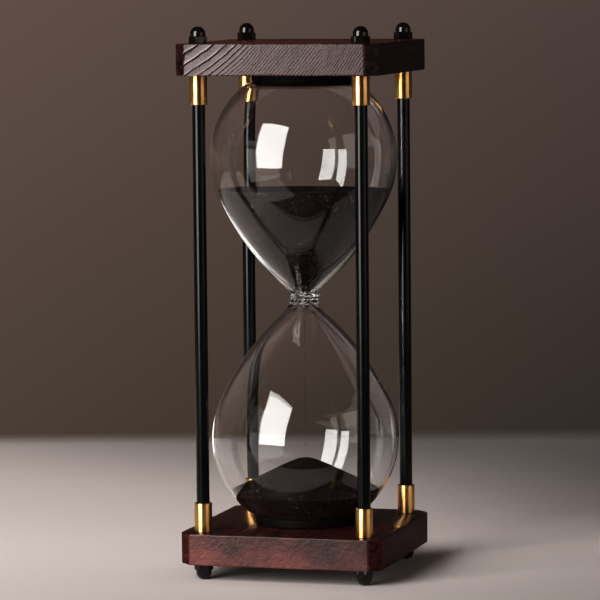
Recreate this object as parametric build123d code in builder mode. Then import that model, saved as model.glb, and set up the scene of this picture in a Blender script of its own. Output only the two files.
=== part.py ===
"""Sand glass held between two wooden plates by four posts.  Millimetres.

The frame stands on its four lower cap nuts.  +Z is up, the origin is on the
ground under the middle of the plates, and the front of the frame faces -Y.
"""
import os
from math import cos, radians, sin, sqrt

from build123d import *

# ---------------------------------------------------------------- driving sizes
PLATE_WIDTH = 100.0          # square wooden plates
PLATE_THICK = 15.0
PLATE_CORNER = 6.0           # leg of the cut on each upright corner
PLATE_EDGE = 0.5             # eased edges of both faces
PLATE_GAP = 219.0            # clear height between the plates

POST_PITCH = 80.0            # post centre to post centre
POST_DIA = 6.2
STUD_DIA = 5.0               # threaded end of a post
STUD_GRIP = 4.6              # length of stud inside a cap nut
STUD_HOLE_DIA = 5.2          # clearance hole in a plate
STUD_CHAMFER = 0.5

FERRULE_DIA = 8.5
FERRULE_BORE = 6.3
FERRULE_LENGTH = 14.0
FERRULE_EDGE = 0.3

NUT_FLATS = 8.0              # across the flats of the hexagon
NUT_HEX_HEIGHT = 3.5
NUT_DOME_DIA = 7.4
NUT_HEIGHT = 8.1             # seat to the top of the dome
NUT_LAND_RADIUS = 1.0        # small flat on the top of the dome
NUT_BORE_DIA = 5.1
NUT_BORE_DEPTH = 4.9
NUT_DOME_OVERLAP = 0.5       # dome starts this far inside the hexagon

PAD_DIA = 49.0
PAD_THICK = 4.5
PAD_EDGE = 0.6

BULB_RADIUS = 45.4           # outside of each bulb
BULB_CENTRE = 68.0           # bulb centre from the neck
BULB_END_BLEND = 9.0         # outside blend between the bulb and its flat end
SHOULDER = 49.0              # where the bulb turns into the flank, from the neck
WALL = 1.2                   # glass on the bulbs
END_WALL = 1.2               # glass on the flat ends
NECK_START = (6.0, 2.8)      # flank meets the neck: radius, distance from the middle
NECK_BEAD_RADIUS = 7.0       # ring of thick glass round the neck
NECK_GROOVE_RADIUS = 6.3     # shallow groove round the middle of that ring
BORE_RADIUS = 1.0            # passage for the sand
BORE_FLARE = (4.0, 4.4)      # inside flank starts here: radius, distance from the middle
FUNNEL_DEPTH = 1.2           # cone from there down to the passage

FILL_HOLE_DIA = 8.0
STOPPER_LENGTH = 1.2         # flush with the glass on both faces
STOPPER_TIP_DIA = 7.7

SAND_CLEARANCE = 0.05        # between the grains and the glass
UPPER_LEVEL = 53.0           # sand surface above the neck
UPPER_DIP = 3.0              # hollow in the middle of that surface
PILE_PEAK = 76.2             # peak of the pile below the neck
PILE_RIM = 94.3              # edge of the pile below the neck
PILE_ROUND = 5.0             # radius of the rounded peak
STREAM_DIA = 0.8

# --------------------------------------------------------------- levels in height
BASE_BOTTOM = NUT_HEIGHT
BASE_TOP = BASE_BOTTOM + PLATE_THICK
TOP_BOTTOM = BASE_TOP + PLATE_GAP
TOP_TOP = TOP_BOTTOM + PLATE_THICK
NECK_LEVEL = BASE_TOP + PLATE_GAP / 2
GLASS_END = PLATE_GAP / 2 - PAD_THICK    # flat ends of the glass, from the neck
FUNNEL_END = BORE_FLARE[1] - FUNNEL_DEPTH

POST_SPOTS = {
    "front_left": (-POST_PITCH / 2, -POST_PITCH / 2),
    "front_right": (POST_PITCH / 2, -POST_PITCH / 2),
    "back_left": (-POST_PITCH / 2, POST_PITCH / 2),
    "back_right": (POST_PITCH / 2, POST_PITCH / 2),
}
NUT_TURNS = {"front_left": 38.0, "front_right": 9.0, "back_left": 24.0, "back_right": 17.0}

os.makedirs("parts", exist_ok=True)
pieces = []


def keep(part, name):
    """Label a finished piece and write it to its own file."""
    part.label = name
    pieces.append(part)
    export_step(part, f"parts/{name}.step")


# ------------------------------------------------------------------ wooden plates
def make_plate(name, bottom):
    """Square plate with cut corners, eased edges and four stud holes."""
    with BuildPart() as plate:
        with BuildSketch(Plane.XY.offset(bottom)):
            Rectangle(PLATE_WIDTH, PLATE_WIDTH)
        extrude(amount=PLATE_THICK)
        chamfer(plate.edges().filter_by(Axis.Z), PLATE_CORNER)
        rims = plate.edges().filter_by(Axis.Z, reverse=True)
        chamfer(rims, PLATE_EDGE)
        with BuildSketch(Plane.XY.offset(bottom)):
            with GridLocations(POST_PITCH, POST_PITCH, 2, 2):
                Circle(STUD_HOLE_DIA / 2)
        extrude(amount=PLATE_THICK, mode=Mode.SUBTRACT)
    keep(plate.part, name)


# ------------------------------------------------------------ posts and ferrules
def make_post(name, spot):
    """Round post with a thinner threaded stud at each end."""
    stud_length = PLATE_THICK + STUD_GRIP
    with BuildPart() as post:
        with BuildSketch(Plane(origin=(*spot, BASE_TOP))):
            Circle(POST_DIA / 2)
        extrude(amount=PLATE_GAP)
        for level, way in ((BASE_TOP, -1), (TOP_BOTTOM, 1)):
            with BuildSketch(Plane(origin=(*spot, level))):
                Circle(STUD_DIA / 2)
            extrude(amount=way * stud_length)
        rings = post.edges().filter_by(GeomType.CIRCLE).sort_by(Axis.Z)
        chamfer((rings[0], rings[-1]), STUD_CHAMFER)
    keep(post.part, name)


def make_ferrule(name, spot, bottom):
    """Short sleeve over the end of a post."""
    with BuildPart() as ferrule:
        with BuildSketch(Plane(origin=(*spot, bottom))):
            Circle(FERRULE_DIA / 2)
            Circle(FERRULE_BORE / 2, mode=Mode.SUBTRACT)
        extrude(amount=FERRULE_LENGTH)
        outer = ferrule.edges().filter_by(GeomType.CIRCLE).group_by(SortBy.RADIUS)[-1]
        chamfer(outer, FERRULE_EDGE)
    keep(ferrule.part, name)


# ----------------------------------------------------------------------- cap nuts
def make_nut(name, spot, seat, way, turn):
    """Domed cap nut on a seat level, tightened to a turn in degrees; way is 1 up, -1 down."""
    seat_plane = Plane(origin=(*spot, seat), x_dir=(1, 0, 0), z_dir=(0, 0, way))
    section = Plane(origin=(*spot, seat), x_dir=(1, 0, 0), z_dir=(0, -way, 0))
    dome_radius = NUT_DOME_DIA / 2
    dome_centre = NUT_HEIGHT - sqrt(dome_radius**2 - NUT_LAND_RADIUS**2)
    corner_radius = NUT_FLATS / sqrt(3)
    slope_start = NUT_HEX_HEIGHT - (corner_radius - NUT_FLATS / 2) / 2
    dome_middle = radians(40)
    with BuildPart() as nut:
        with BuildSketch(seat_plane):
            RegularPolygon(NUT_FLATS / 2, 6, major_radius=False, rotation=turn)
        extrude(amount=NUT_HEX_HEIGHT)
        with BuildSketch(section):
            with BuildLine():
                Polyline(
                    (0, 0),
                    (corner_radius, 0),
                    (corner_radius, slope_start),
                    (NUT_FLATS / 2, NUT_HEX_HEIGHT),
                    (0, NUT_HEX_HEIGHT),
                    close=True,
                )
            make_face()
        revolve(axis=Axis((*spot, 0), (0, 0, 1)), mode=Mode.INTERSECT)
        with BuildSketch(section):
            with BuildLine():
                Polyline(
                    (0, NUT_HEIGHT),
                    (0, NUT_HEX_HEIGHT - NUT_DOME_OVERLAP),
                    (dome_radius, NUT_HEX_HEIGHT - NUT_DOME_OVERLAP),
                    (dome_radius, dome_centre),
                )
                ThreePointArc(
                    (dome_radius, dome_centre),
                    (dome_radius * cos(dome_middle), dome_centre + dome_radius * sin(dome_middle)),
                    (NUT_LAND_RADIUS, NUT_HEIGHT),
                )
                Line((NUT_LAND_RADIUS, NUT_HEIGHT), (0, NUT_HEIGHT))
            make_face()
        revolve(axis=Axis((*spot, 0), (0, 0, 1)))
        with BuildSketch(seat_plane):
            Circle(NUT_BORE_DIA / 2)
        extrude(amount=NUT_BORE_DEPTH, mode=Mode.SUBTRACT)
    keep(nut.part, name)


# --------------------------------------------------------------------------- pads
def make_pad(name, bottom):
    """Round pad that the flat end of the glass is seated on."""
    with BuildPart() as pad:
        with BuildSketch(Plane.XY.offset(bottom)):
            Circle(PAD_DIA / 2)
        extrude(amount=PAD_THICK)
        chamfer(pad.edges().filter_by(GeomType.CIRCLE), PAD_EDGE)
    keep(pad.part, name)


# -------------------------------------------------------------------------- glass
def shoulder_point(radius):
    """Point on a bulb circle at the shoulder height, and the tangent towards the neck.

    Sections are drawn as (radius, distance from the neck).
    """
    drop = BULB_CENTRE - SHOULDER
    reach = sqrt(radius**2 - drop**2)
    return (reach, SHOULDER), (-drop, -reach)


def bulb_outline(radius, end_level, neck_point):
    """Draw one side of a bulb from its flat end to the neck in the current BuildLine."""
    end_reach = sqrt(radius**2 - (end_level - BULB_CENTRE) ** 2)
    shoulder, towards_neck = shoulder_point(radius)
    Line((0, end_level), (end_reach, end_level))
    ThreePointArc((end_reach, end_level), (radius, BULB_CENTRE), shoulder)
    TangentArc(shoulder, neck_point, tangent=towards_neck)


def axis_section(flip):
    """Section plane through the axis of the glass; flip draws the lower bulb."""
    way = -1 if flip else 1
    return Plane(origin=(0, 0, NECK_LEVEL), x_dir=(1, 0, 0), z_dir=(0, -way, 0))


def glass_half(flip):
    """Solid outside of one bulb with its half of the neck ring."""
    with BuildPart() as half:
        with BuildSketch(axis_section(flip)):
            with BuildLine():
                bulb_outline(BULB_RADIUS, GLASS_END, NECK_START)
                ThreePointArc(NECK_START, (NECK_BEAD_RADIUS, NECK_START[1] / 2), (NECK_GROOVE_RADIUS, 0))
                Polyline((NECK_GROOVE_RADIUS, 0), (0, 0), (0, GLASS_END))
            make_face()
        revolve(axis=Axis((0, 0, 0), (0, 0, 1)))
        ends = half.edges().filter_by(GeomType.CIRCLE).group_by(Axis.Z)
        fillet(ends[0] if flip else ends[-1], BULB_END_BLEND)
    return half.part


def hollow_half(flip):
    """Space inside one bulb with its half of the passage through the neck."""
    with BuildPart() as hollow:
        with BuildSketch(axis_section(flip)):
            with BuildLine():
                bulb_outline(BULB_RADIUS - WALL, GLASS_END - END_WALL, BORE_FLARE)
                Polyline(BORE_FLARE, (BORE_RADIUS, FUNNEL_END), (BORE_RADIUS, 0), (0, 0))
                Line((0, 0), (0, GLASS_END - END_WALL))
            make_face()
        revolve(axis=Axis((0, 0, 0), (0, 0, 1)))
        ends = hollow.edges().filter_by(GeomType.CIRCLE).group_by(Axis.Z)
        fillet(ends[0] if flip else ends[-1], BULB_END_BLEND - WALL)
    return hollow.part


def make_glass():
    """Both bulbs and the neck, blown in one piece, with a fill hole in the upper end."""
    outside = [glass_half(False), glass_half(True)]
    inside = [hollow_half(False), hollow_half(True)]
    with BuildPart() as glass:
        add(outside)
        add(inside, mode=Mode.SUBTRACT)
        with BuildSketch(Plane.XY.offset(NECK_LEVEL + GLASS_END)):
            Circle(FILL_HOLE_DIA / 2)
        extrude(amount=-END_WALL - SAND_CLEARANCE, mode=Mode.SUBTRACT)
    keep(glass.part, "glass_bulb")


def make_stopper():
    """Tapered plug that closes the fill hole flush with the flat end of the glass."""
    with BuildPart() as stopper:
        with BuildSketch(Plane.XY.offset(NECK_LEVEL + GLASS_END)):
            Circle(FILL_HOLE_DIA / 2 - SAND_CLEARANCE)
        with BuildSketch(Plane.XY.offset(NECK_LEVEL + GLASS_END - STOPPER_LENGTH)):
            Circle(STOPPER_TIP_DIA / 2)
        loft()
    keep(stopper.part, "fill_stopper")


# --------------------------------------------------------------------------- sand
def inner_flank(height):
    """Radius of the sand against the glass at a distance from the neck, on the bulb circle."""
    radius = BULB_RADIUS - WALL - SAND_CLEARANCE
    return sqrt(radius**2 - (height - BULB_CENTRE) ** 2)


def make_upper_sand():
    """Sand that fills the upper bulb to a nearly level surface with a shallow dip."""
    radius = BULB_RADIUS - WALL - SAND_CLEARANCE
    shoulder, towards_neck = shoulder_point(radius)
    rim = (inner_flank(UPPER_LEVEL), UPPER_LEVEL)
    tip = (BORE_FLARE[0] - SAND_CLEARANCE, BORE_FLARE[1])
    outlet = BORE_RADIUS - SAND_CLEARANCE
    with BuildPart() as sand:
        with BuildSketch(axis_section(False)):
            with BuildLine():
                Line((0, UPPER_LEVEL - UPPER_DIP), (rim[0] / 2, UPPER_LEVEL - UPPER_DIP / 2))
                Line((rim[0] / 2, UPPER_LEVEL - UPPER_DIP / 2), rim)
                RadiusArc(rim, shoulder, radius)
                TangentArc(shoulder, tip, tangent=towards_neck)
                Polyline(tip, (outlet, FUNNEL_END), (0, FUNNEL_END), (0, UPPER_LEVEL - UPPER_DIP))
            make_face()
        revolve(axis=Axis((0, 0, 0), (0, 0, 1)))
    keep(sand.part, "upper_sand")


def make_lower_sand():
    """Conical pile with a rounded peak on the flat end of the lower bulb."""
    floor_level = GLASS_END - END_WALL - SAND_CLEARANCE
    radius = BULB_RADIUS - WALL - SAND_CLEARANCE
    rim = (inner_flank(PILE_RIM), PILE_RIM)
    foot = (inner_flank(floor_level), floor_level)
    slope = (PILE_RIM - PILE_PEAK) / rim[0]
    crown = (PILE_ROUND, PILE_PEAK + slope * PILE_ROUND)
    with BuildPart() as sand:
        with BuildSketch(axis_section(True)):
            with BuildLine():
                peak_level = PILE_PEAK + slope * PILE_ROUND / 2
                TangentArc((0, peak_level), crown, tangent=(1, 0))
                Line(crown, rim)
                RadiusArc(rim, foot, -radius)
                Polyline(foot, (0, floor_level), (0, peak_level))
            make_face()
        revolve(axis=Axis((0, 0, 0), (0, 0, 1)))
        fillet(sand.edges().filter_by(GeomType.CIRCLE).group_by(Axis.Z)[0], BULB_END_BLEND - WALL)
    keep(sand.part, "lower_sand")
    return NECK_LEVEL - peak_level


def make_stream(pile_peak):
    """Thread of falling grains from the upper sand to the peak of the pile."""
    with BuildPart() as stream:
        with BuildSketch(Plane.XY.offset(pile_peak)):
            Circle(STREAM_DIA / 2)
        extrude(amount=NECK_LEVEL + FUNNEL_END - pile_peak)
    keep(stream.part, "sand_stream")


# ----------------------------------------------------------------------- assembly
make_plate("base_plate", BASE_BOTTOM)
make_plate("top_plate", TOP_BOTTOM)
for corner, place in POST_SPOTS.items():
    make_post(f"post_{corner}", place)
    make_ferrule(f"base_ferrule_{corner}", place, BASE_TOP)
    make_ferrule(f"top_ferrule_{corner}", place, TOP_BOTTOM - FERRULE_LENGTH)
    make_nut(f"foot_nut_{corner}", place, BASE_BOTTOM, -1, NUT_TURNS[corner])
    make_nut(f"top_nut_{corner}", place, TOP_TOP, 1, NUT_TURNS[corner])
make_pad("base_pad", BASE_TOP)
make_pad("top_pad", TOP_BOTTOM - PAD_THICK)
make_glass()
make_stopper()
make_upper_sand()
make_stream(make_lower_sand())

hourglass = Compound(label="hourglass", children=pieces)
print(f"{len(pieces)} pieces, box {hourglass.bounding_box()}")
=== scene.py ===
"""Looks of the hourglass: turned metal, stained wood, blown glass and dark sand."""

from itertools import product
from math import cos, pi, radians, sin, sqrt, tan

import bmesh
import bpy
import numpy as np
from mathutils import Matrix, Vector


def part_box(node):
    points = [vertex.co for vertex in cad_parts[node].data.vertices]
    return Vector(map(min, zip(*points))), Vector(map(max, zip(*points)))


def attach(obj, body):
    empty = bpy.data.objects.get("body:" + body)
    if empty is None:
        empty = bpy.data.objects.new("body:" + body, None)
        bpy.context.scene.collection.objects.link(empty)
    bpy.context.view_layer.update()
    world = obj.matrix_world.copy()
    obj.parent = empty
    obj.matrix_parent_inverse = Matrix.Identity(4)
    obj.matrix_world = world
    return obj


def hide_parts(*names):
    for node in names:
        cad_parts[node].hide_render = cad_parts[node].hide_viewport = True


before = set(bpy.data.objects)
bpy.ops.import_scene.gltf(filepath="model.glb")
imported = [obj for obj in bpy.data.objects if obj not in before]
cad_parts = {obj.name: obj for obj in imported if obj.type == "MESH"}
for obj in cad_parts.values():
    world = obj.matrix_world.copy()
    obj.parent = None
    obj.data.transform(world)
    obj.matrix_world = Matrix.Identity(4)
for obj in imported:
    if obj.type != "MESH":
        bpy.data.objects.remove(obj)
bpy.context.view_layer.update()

MM = 0.001
BODY = "root"
CORNERS = ("front_left", "front_right", "back_left", "back_right")

# ---- sizes read from the frame
base_low, base_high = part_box("base_plate")
top_low, top_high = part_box("top_plate")
glass_low, glass_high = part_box("glass_bulb")
ferrule_low, ferrule_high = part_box("base_ferrule_front_left")

PLATE_HALF = base_high.x
NECK_LEVEL = (glass_low.z + glass_high.z) / 2
GLASS_END = (glass_high.z - glass_low.z) / 2
FERRULE_RADIUS = (ferrule_high.x - ferrule_low.x) / 2

# ---- sizes of the design; angles in degrees
PLATE_CORNER = 6.0 * MM
PLATE_CORNER_EASE = 0.8 * MM
PLATE_SHARP = 50.0
FLAT_FACE_NORMAL = 0.95
END_GRAIN_DEPTH = 0.9 * MM
STUD_HOLE_RADIUS = 2.6 * MM
STUD_RADIUS = 2.5 * MM
STUD_CHAMFER = 0.5 * MM
FERRULE_BORE = 3.15 * MM
FERRULE_EDGE = 0.35 * MM
PAD_EDGE = 0.9 * MM
NUT_FLATS = 8.0 * MM
NUT_HEX_HEIGHT = 3.5 * MM
NUT_DOME_RADIUS = 3.7 * MM
NUT_DOME_LAND = 1.0 * MM
NUT_SEAT_EDGE = 0.25 * MM
NUT_CORNER_LIMIT = 1.149
NUT_CORNER_POWER = 60
NUT_BORE_RADIUS = 2.55 * MM
NUT_BORE_DEPTH = 4.9 * MM
NUT_TURNS = {"front_left": 38.0, "front_right": 9.0, "back_left": 24.0, "back_right": 17.0}

BULB_RADIUS = 45.4 * MM
BULB_CENTRE = 68.0 * MM
SHOULDER = 49.0 * MM
WALL = 1.2 * MM
END_WALL = 1.2 * MM
END_BLEND = 9.0 * MM
NECK_START = (6.0 * MM, 2.8 * MM)
NECK_BEAD_RADIUS = 7.0 * MM
NECK_GROOVE_RADIUS = 6.3 * MM
BORE_RADIUS = 1.0 * MM
BORE_FLARE = (4.0 * MM, 4.4 * MM)
FUNNEL_END = 3.2 * MM
FILL_HOLE_RADIUS = 4.0 * MM

UPPER_LEVEL = 53.0 * MM
PILE_PEAK = 76.2 * MM
PILE_RIM = 94.3 * MM
SAND_GAP = 0.12 * MM
STREAM_RADIUS = 0.4 * MM
STREAM_GRAINS = 170

# ---- fineness of the meshes
PLATE_STEP = 0.32 * MM
SAND_STEP = 0.45 * MM
HOLE_SEGMENTS = 40
POST_SEGMENTS = 72
FERRULE_SEGMENTS = 96
ROUND_SEGMENTS = 120
GLASS_SEGMENTS = 256
SAND_SEGMENTS = 320


# ---- small maths
def value_noise(points, size, seed):
    """Smooth noise from -1 to 1 at an array of points, with features of the given size."""
    cell = points / size + seed * 13.7
    corner_low = np.floor(cell).astype(np.int64)
    part = cell - corner_low
    part = part * part * (3 - 2 * part)
    total = np.zeros(len(points))
    for offset in product((0, 1), repeat=3):
        weight = np.prod(np.where(np.array(offset) == 1, part, 1 - part), axis=1)
        key = (corner_low + offset) @ np.array((73856093, 19349663, 83492791)) + seed * 7919
        key = (key ^ (key >> 13)) * 1274126177 & 0x7FFFFFFF
        key = (key ^ (key >> 15)) * 668265263 & 0x7FFFFFFF
        total += weight * ((key & 0xFFFFFF) / 0x7FFFFF - 1)
    return total


def smooth_step(low, high, value):
    """0 below low, 1 above high, and a smooth rise between."""
    t = np.clip((value - low) / (high - low), 0, 1)
    return t * t * (3 - 2 * t)


def arc(centre, radius, start, end, count):
    """Points on an arc in (radius, height) space; angles in degrees."""
    turns = np.radians(np.linspace(start, end, count))
    return [(centre[0] + radius * cos(t), centre[1] + radius * sin(t)) for t in turns]


def spaced(points, step):
    """The polyline again with points no further than step apart."""
    out = [points[0]]
    for a, b in zip(points, points[1:]):
        length = sqrt((b[0] - a[0]) ** 2 + (b[1] - a[1]) ** 2)
        count = max(1, int(np.ceil(length / step)))
        for k in range(1, count + 1):
            out.append((a[0] + (b[0] - a[0]) * k / count, a[1] + (b[1] - a[1]) * k / count))
    return out


# ---- mesh making
def add_object(name, points, faces, material, smooth_angle=35.0):
    """A mesh object from arrays, smooth but for edges sharper than an angle in degrees."""
    mesh = bpy.data.meshes.new(name)
    mesh.from_pydata([tuple(p) for p in points], [], faces)
    mesh.validate()
    mesh.shade_smooth()
    mesh.set_sharp_from_angle(angle=radians(smooth_angle))
    mesh.materials.append(material)
    obj = bpy.data.objects.new(name, mesh)
    bpy.context.scene.collection.objects.link(obj)
    return obj


def lathe(name, profile, centre, material, segments, closed=False, shape=None, turn=0.0):
    """Turn a (radius, height) outline about a vertical axis.

    A radius of zero becomes one point. closed joins the last ring to the first.
    shape(radii, height, angles) returns changed radii for a ring.
    """
    angles = np.linspace(0, 2 * pi, segments, endpoint=False) + turn
    points, rings, faces = [], [], []
    for radius, height in profile:
        if radius <= 0:
            rings.append([len(points)])
            points.append((centre[0], centre[1], centre[2] + height))
            continue
        radii = np.full(segments, radius)
        if shape is not None:
            radii = shape(radii, height, angles)
        rings.append(list(range(len(points), len(points) + segments)))
        points.extend(
            (centre[0] + r * cos(a), centre[1] + r * sin(a), centre[2] + height)
            for r, a in zip(radii, angles)
        )
    pairs = list(zip(rings, rings[1:])) + ([(rings[-1], rings[0])] if closed else [])
    for low, high in pairs:
        for k in range(segments):
            n = (k + 1) % segments
            if len(low) == 1:
                faces.append((low[0], high[n], high[k]))
            elif len(high) == 1:
                faces.append((low[k], low[n], high[0]))
            else:
                faces.append((low[k], low[n], high[n], high[k]))
    obj = add_object(name, points, faces, material)
    face_outwards(obj)
    return obj


def face_outwards(obj):
    """Make the faces of a closed mesh point out of it."""
    mesh = bmesh.new()
    mesh.from_mesh(obj.data)
    bmesh.ops.recalc_face_normals(mesh, faces=mesh.faces)
    mesh.to_mesh(obj.data)
    mesh.free()


def finish_piece(obj, cad_node):
    """Ride the frame and stand for a CAD node."""
    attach(obj, BODY)
    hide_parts(cad_node)


# ---- materials
def new_material(name):
    """A new material, its Principled node and its node tree."""
    material = bpy.data.materials.new(name)
    material.use_nodes = True
    tree = material.node_tree
    principled = tree.nodes["Principled BSDF"]
    return material, principled, tree


def set_inputs(shader, values):
    """Give a node's own sockets plain values; a colour may leave out its alpha."""
    for key, value in values.items():
        is_colour = isinstance(value, tuple) and len(value) == 3
        shader.inputs[key].default_value = (*value, 1) if is_colour else value


def feed(tree, shader, sources):
    """Link value or colour sockets to a node's inputs."""
    for key, source in sources.items():
        tree.links.new(source, shader.inputs[key])


def node(tree, kind, inputs=None, **settings):
    """Add a shader node with its settings and plain input values."""
    made = tree.nodes.new(kind)
    for key, value in settings.items():
        setattr(made, key, value)
    set_inputs(made, inputs or {})
    return made


def ramp(tree, source, stops):
    """A colour ramp on a value, from (position, colour) stops."""
    made = node(tree, "ShaderNodeValToRGB")
    elements = made.color_ramp.elements
    while len(elements) < len(stops):
        elements.new(0.5)
    for element, (position, colour) in zip(elements, stops):
        element.position = position
        element.color = (*colour, 1)
    tree.links.new(source, made.inputs["Fac"])
    return made.outputs["Color"]


def grey(value):
    """A grey as three channels."""
    return (value, value, value)


def object_place(tree, scale=(1, 1, 1)):
    """Object coordinates in millimetres, stretched by a scale."""
    place = node(tree, "ShaderNodeTexCoord")
    mapping = node(tree, "ShaderNodeMapping", {"Scale": [s / MM for s in scale]})
    tree.links.new(place.outputs["Object"], mapping.inputs["Vector"])
    return mapping.outputs["Vector"]


def noise(tree, vector, scale, detail=4.0, roughness=0.55, distortion=0.0):
    """A noise texture's value."""
    made = node(
        tree,
        "ShaderNodeTexNoise",
        {"Scale": scale, "Detail": detail, "Roughness": roughness, "Distortion": distortion},
    )
    tree.links.new(vector, made.inputs["Vector"])
    return made.outputs["Fac"]


def math(tree, operation, first, second):
    """A Math node's value of two sockets or numbers."""
    made = node(tree, "ShaderNodeMath", operation=operation)
    for k, value in enumerate((first, second)):
        if isinstance(value, (int, float)):
            made.inputs[k].default_value = value
        else:
            tree.links.new(value, made.inputs[k])
    return made.outputs[0]


def mix_colour(tree, factor, first, second, blend="MIX"):
    """A Mix node's colour of two sockets or colours."""
    made = node(tree, "ShaderNodeMix", data_type="RGBA", blend_type=blend)
    for name, value in (("Factor", factor), ("A", first), ("B", second)):
        socket = [s for s in made.inputs if s.name == name and s.enabled][0]
        if isinstance(value, (int, float)):
            socket.default_value = value
        elif isinstance(value, tuple):
            socket.default_value = (*value, 1)
        else:
            tree.links.new(value, socket)
    return [s for s in made.outputs if s.enabled][0]


def along(tree, vector, direction):
    """Distance of a shader vector along a direction."""
    made = node(tree, "ShaderNodeVectorMath", operation="DOT_PRODUCT")
    tree.links.new(vector, made.inputs[0])
    made.inputs[1].default_value = direction
    return made.outputs["Value"]


def rescale(tree, value, from_low, from_high, to_low, to_high):
    """A value mapped smoothly from one range to another and held at its ends."""
    ends = {"From Min": from_low, "From Max": from_high, "To Min": to_low, "To Max": to_high}
    made = node(tree, "ShaderNodeMapRange", ends, interpolation_type="SMOOTHSTEP")
    tree.links.new(value, made.inputs["Value"])
    return made.outputs["Result"]


def cover(tree, share, first, second):
    """Make the surface a mix of two shaders, with a share of the second."""
    mix = node(tree, "ShaderNodeMixShader")
    for k, source in enumerate((share, first, second)):
        tree.links.new(source, mix.inputs[k])
    tree.links.new(mix.outputs["Shader"], tree.nodes["Material Output"].inputs["Surface"])


def held(tree, value, low, high):
    """A value kept between two limits."""
    return math(tree, "MINIMUM", math(tree, "MAXIMUM", value, low), high)


def dress(tree, principled, colour, rough, shine):
    """Give a surface its colour, its roughness and a plain strength of shine."""
    feed(tree, principled, {"Base Color": colour, "Roughness": rough})
    set_inputs(principled, {"Specular IOR Level": shine})


def bump(tree, principled, height, strength, distance):
    """Fine relief from a height value; distance in metres."""
    made = node(tree, "ShaderNodeBump", {"Strength": strength, "Distance": distance})
    tree.links.new(height, made.inputs["Height"])
    tree.links.new(made.outputs["Normal"], principled.inputs["Normal"])


def brass_material():
    """Turned, polished brass with fine lathe lines round it."""
    material, principled, tree = new_material("turned_brass")
    set_inputs(principled, {"Metallic": 1.0, "Anisotropic": 0.86, "Anisotropic Rotation": 0.25})
    lines = noise(tree, object_place(tree, (0.15, 0.15, 9.0)), 1.0, 3.0)
    cloud = noise(tree, object_place(tree), 0.35, 3.0)
    colour = ramp(tree, cloud, ((0.3, (0.82, 0.49, 0.19)), (0.7, (0.89, 0.57, 0.24))))
    rough = ramp(tree, lines, ((0.3, grey(0.31)), (0.7, grey(0.35))))
    feed(tree, principled, {"Base Color": colour, "Roughness": rough})
    bump(tree, principled, lines, 0.03, 0.01 * MM)
    return material


def black_paint_material(name, low, high, shine, peel, dark, pale):
    """Black paint between two roughnesses and two tones, with a faint orange-peel surface."""
    material, principled, tree = new_material(name)
    place = object_place(tree)
    cloud = noise(tree, place, 0.12, 3.0)
    colour = ramp(tree, cloud, ((0.3, dark), (0.75, pale)))
    rough = ramp(tree, cloud, ((0.35, grey(low)), (0.7, grey(high))))
    dress(tree, principled, colour, rough, shine)
    bump(tree, principled, noise(tree, place, 2.6, 2.0), peel, 0.02 * MM)
    return material


def rubber_material(name):
    """Matt black rubber with a fine moulded grain."""
    material, principled, tree = new_material(name)
    place = object_place(tree)
    cloud = noise(tree, place, 0.2, 3.0)
    colour = ramp(tree, cloud, ((0.3, (0.003, 0.0024, 0.0021)), (0.7, (0.006, 0.005, 0.0044))))
    rough = ramp(tree, cloud, ((0.3, grey(0.5)), (0.7, grey(0.65))))
    dress(tree, principled, colour, rough, 0.06)
    bump(tree, principled, noise(tree, place, 5.0, 2.0), 0.3, 0.04 * MM)
    return material


def glass_material():
    """Clear blown glass that lets lamp light through to the sand."""
    material, principled, tree = new_material("blown_glass")
    set_inputs(principled, {"Base Color": (0.995, 0.998, 0.996), "Transmission Weight": 1.0})
    set_inputs(principled, {"Roughness": 0.0, "IOR": 1.47})
    clear = node(tree, "ShaderNodeBsdfTransparent", {"Color": (0.97, 0.97, 0.97)})
    is_shadow = node(tree, "ShaderNodeLightPath").outputs["Is Shadow Ray"]
    cover(tree, is_shadow, principled.outputs["BSDF"], clear.outputs["BSDF"])
    return material


def sand_material(name):
    """Fine brown-black grains, each with its own shade and shine."""
    material, principled, tree = new_material(name)
    place = object_place(tree)
    cells = node(tree, "ShaderNodeTexVoronoi", {"Scale": 1.9})
    tree.links.new(place, cells.inputs["Vector"])
    shade = math(tree, "MULTIPLY", cells.outputs["Color"], 1.0)
    drift = noise(tree, place, 0.08, 3.0)
    tone = math(tree, "MULTIPLY", shade, math(tree, "ADD", drift, 0.4))
    colour = ramp(
        tree,
        tone,
        (
            (0.12, (0.0026, 0.002, 0.0018)),
            (0.45, (0.0078, 0.0053, 0.0046)),
            (0.78, (0.019, 0.0132, 0.0114)),
            (0.95, (0.16, 0.135, 0.128)),
        ),
    )
    rough = ramp(tree, shade, ((0.2, grey(0.8)), (0.9, grey(0.55))))
    dress(tree, principled, colour, rough, 0.008)
    bump(tree, principled, cells.outputs["Distance"], 0.8, 0.25 * MM)
    return material


STAIN = (
    (0.28, (0.04, 0.018, 0.016)),
    (0.44, (0.5, 0.14, 0.12)),
    (0.58, (1.0, 0.27, 0.22)),
    (0.8, (1.6, 0.5, 0.42)),
)
FIGURE_SHARE = 0.65
FIBRE_SHARE = 0.35
# Pale colour laid on the ring crests: a painted highlight.
PAINTED_CREST_HIGHLIGHT = (0.2, 0.16, 0.155)


def wood_tone(tree, figure, fine, strength):
    """The stained wood's colour from its figure and its fine fibre."""
    broad = math(tree, "MULTIPLY", figure, FIGURE_SHARE)
    mixed = math(tree, "ADD", broad, math(tree, "MULTIPLY", fine, FIBRE_SHARE))
    return ramp(tree, mixed, [(at, tuple(c * strength for c in tone)) for at, tone in STAIN])


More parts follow.
